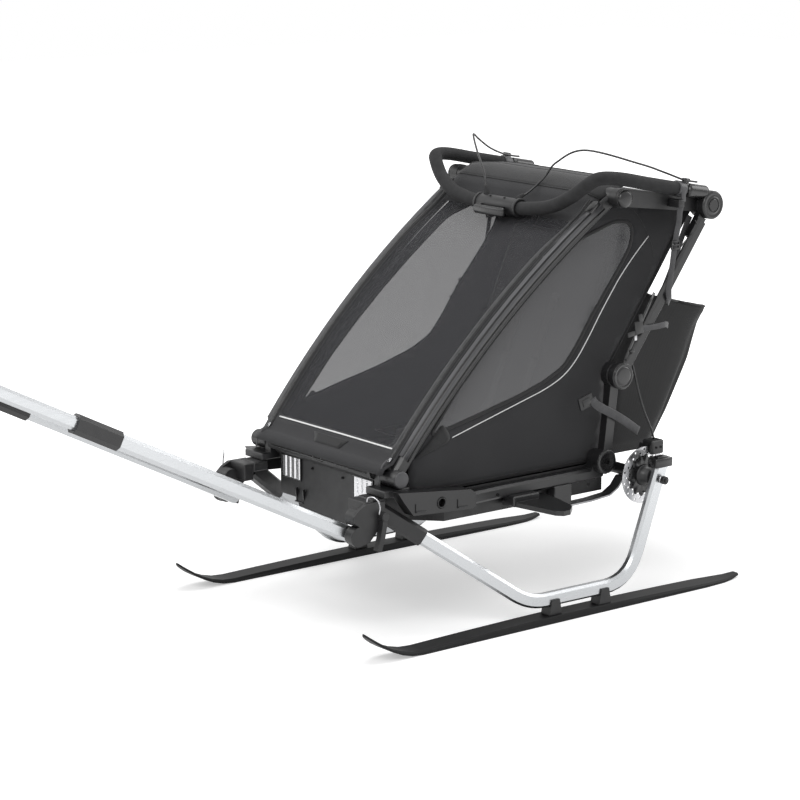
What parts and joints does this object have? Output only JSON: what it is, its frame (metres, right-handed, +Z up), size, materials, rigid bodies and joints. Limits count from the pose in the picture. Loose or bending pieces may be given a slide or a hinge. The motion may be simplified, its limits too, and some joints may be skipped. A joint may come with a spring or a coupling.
{
  "type": "child bike trailer",
  "caption": "Folding fabric-bodied child trailer on skis, with two long tow poles, a mesh front cover, a flip-over push bar and a rear luggage bag.",
  "frame": {"origin": "on the ground, under the middle of the whole box with the tow poles out; the skis stand on Z = 0", "axes": "+Z up, the trailer travels along -Y, its left side is +X"},
  "size_m": [0.878, 2.589, 1.0926],
  "materials": {
    "ski": "semi-gloss black ski with a darker top",
    "silver": "bright brushed and clear anodised",
    "plastic": "fine moulded texture",
    "dark_tube": "dark grey powder coat",
    "steel": "ground and stamped",
    "foam": "matt foam grip",
    "cable": "smooth cable outer",
    "fabric": "charcoal coated weave",
    "mesh": "charcoal cloth with a fine mesh window",
    "webbing": "ribbed webbing"
  },
  "bodies": {
    "base": {"arm_socket_left": "plastic", "arm_socket_right": "plastic", "axle_beam": "dark_tube", "brake_caliper_left": "plastic", "brake_caliper_right": "plastic", "caliper_cable_left": "cable", "caliper_cable_right": "cable", "cargo_bag": "fabric", "floor_tray": "plastic", "front_bumper": "plastic", "harness": "webbing", "leaf_spring_left": "steel", "leaf_spring_right": "steel", "pole_clamp_left": "plastic", "pole_clamp_right": "plastic", "rear_panel": "fabric", "seat_back": "fabric", "seat_cushion": "fabric", "side_panel_left": "fabric", "side_panel_right": "fabric", "side_rail_left": "dark_tube", "side_rail_right": "dark_tube", "ski_arm_left": "silver", "ski_arm_right": "silver", "ski_clamp_front_left": "plastic", "ski_clamp_front_right": "plastic", "ski_clamp_rear_left": "plastic", "ski_clamp_rear_right": "plastic", "ski_left": "ski", "ski_right": "ski"},
    "pillars": {"pillar_left": "dark_tube", "pillar_right": "dark_tube", "front_cover": "mesh"},
    "roof": {"top_rail_left": "plastic", "top_rail_right": "plastic", "roof_panel": "fabric"},
    "rear": {"rear_frame": "dark_tube"},
    "link": {"rear_link_left": "dark_tube", "rear_link_right": "dark_tube"},
    "handlebar": {"handlebar": "foam", "hub_shell_left": "plastic", "hub_shell_right": "plastic", "brake_housing": "plastic", "brake_cable_left": "cable", "brake_cable_right": "cable"},
    "brake_lever": {"brake_lever": "plastic"},
    "hub_button_left": {"hub_button_left": "plastic"},
    "rotor_left": {"brake_rotor_left": "steel"},
    "axle_button_left": {"axle_button_left": "plastic"},
    "clamp_lever_left": {"clamp_lever_left": "plastic"},
    "pole_left": {"tow_pole_lower_left": "silver", "tow_pole_upper_left": "silver", "pole_coupling_left": "plastic"},
    "hub_button_right": {"hub_button_right": "plastic"},
    "rotor_right": {"brake_rotor_right": "steel"},
    "axle_button_right": {"axle_button_right": "plastic"},
    "clamp_lever_right": {"clamp_lever_right": "plastic"},
    "pole_right": {"tow_pole_lower_right": "silver", "tow_pole_upper_right": "silver", "pole_coupling_right": "plastic"}
  },
  "joints": [
    {"name": "frame_fold", "type": "hinge", "parent": "base", "child": "pillars", "pos_m": [0, 0.25904, 0.379], "axis": [-1, 0, 0], "range_deg": [0, 35], "deforming": ["side_panel_left", "side_panel_right", "rear_panel", "seat_back", "harness", "cargo_bag", "caliper_cable_left", "caliper_cable_right"]},
    {"name": "roof_fold", "type": "hinge", "parent": "pillars", "child": "roof", "pos_m": [0, 0.90604, 0.975], "axis": [1, 0, 0], "range_deg": [0, 59]},
    {"name": "rear_fold", "type": "hinge", "parent": "roof", "child": "rear", "pos_m": [0, 1.17904, 0.939], "axis": [-1, 0, 0], "range_deg": [0, 75]},
    {"name": "link_fold", "type": "hinge", "parent": "base", "child": "link", "pos_m": [0, 0.87004, 0.338], "axis": [-1, 0, 0], "range_deg": [0, 5.5]},
    {"name": "handlebar_swing", "type": "hinge", "parent": "rear", "child": "handlebar", "pos_m": [0, 1.17904, 0.939], "axis": [-1, 0, 0], "range_deg": [0, 150]},
    {"name": "brake_lever_pull", "type": "hinge", "parent": "handlebar", "child": "brake_lever", "pos_m": [0, 0.75504, 0.9345], "axis": [1, 0, 0], "range_deg": [0, 15], "stiffness_Nm_per_rad": 0.6},
    {"name": "hub_button_press_left", "type": "slide", "parent": "handlebar", "child": "hub_button_left", "axis": [-1, 0, 0], "range_m": [0, 0.004], "stiffness_N_per_m": 700},
    {"name": "axle_button_press_left", "type": "slide", "parent": "base", "child": "axle_button_left", "axis": [-1, 0, 0], "range_m": [0, 0.004], "stiffness_N_per_m": 700},
    {"name": "rotor_spin_left", "type": "hinge", "parent": "base", "child": "rotor_left", "pos_m": [0.348, 0.95404, 0.301], "axis": [1, 0, 0], "continuous": true},
    {"name": "clamp_lever_swing_left", "type": "hinge", "parent": "base", "child": "clamp_lever_left", "pos_m": [0.28, 0.20504, 0.303], "axis": [-1, 0, 0], "range_deg": [0, 90]},
    {"name": "pole_tilt_left", "type": "hinge", "parent": "base", "child": "pole_left", "pos_m": [0.25, 0.14304, 0.262], "axis": [-1, 0, 0], "range_deg": [-22, 50]},
    {"name": "hub_button_press_right", "type": "slide", "parent": "handlebar", "child": "hub_button_right", "axis": [1, 0, 0], "range_m": [0, 0.004], "stiffness_N_per_m": 700},
    {"name": "axle_button_press_right", "type": "slide", "parent": "base", "child": "axle_button_right", "axis": [1, 0, 0], "range_m": [0, 0.004], "stiffness_N_per_m": 700},
    {"name": "rotor_spin_right", "type": "hinge", "parent": "base", "child": "rotor_right", "pos_m": [-0.348, 0.95404, 0.301], "axis": [1, 0, 0], "continuous": true},
    {"name": "clamp_lever_swing_right", "type": "hinge", "parent": "base", "child": "clamp_lever_right", "pos_m": [-0.28, 0.20504, 0.303], "axis": [-1, 0, 0], "range_deg": [0, 90]},
    {"name": "pole_tilt_right", "type": "hinge", "parent": "base", "child": "pole_right", "pos_m": [-0.25, 0.14304, 0.262], "axis": [-1, 0, 0], "range_deg": [-22, 50]}
  ],
  "couplings": [
    {"joint": "roof_fold", "follows": "frame_fold", "ratio": 1.68},
    {"joint": "rear_fold", "follows": "frame_fold", "ratio": 2.14},
    {"joint": "link_fold", "follows": "frame_fold", "ratio": 0.154}
  ]
}
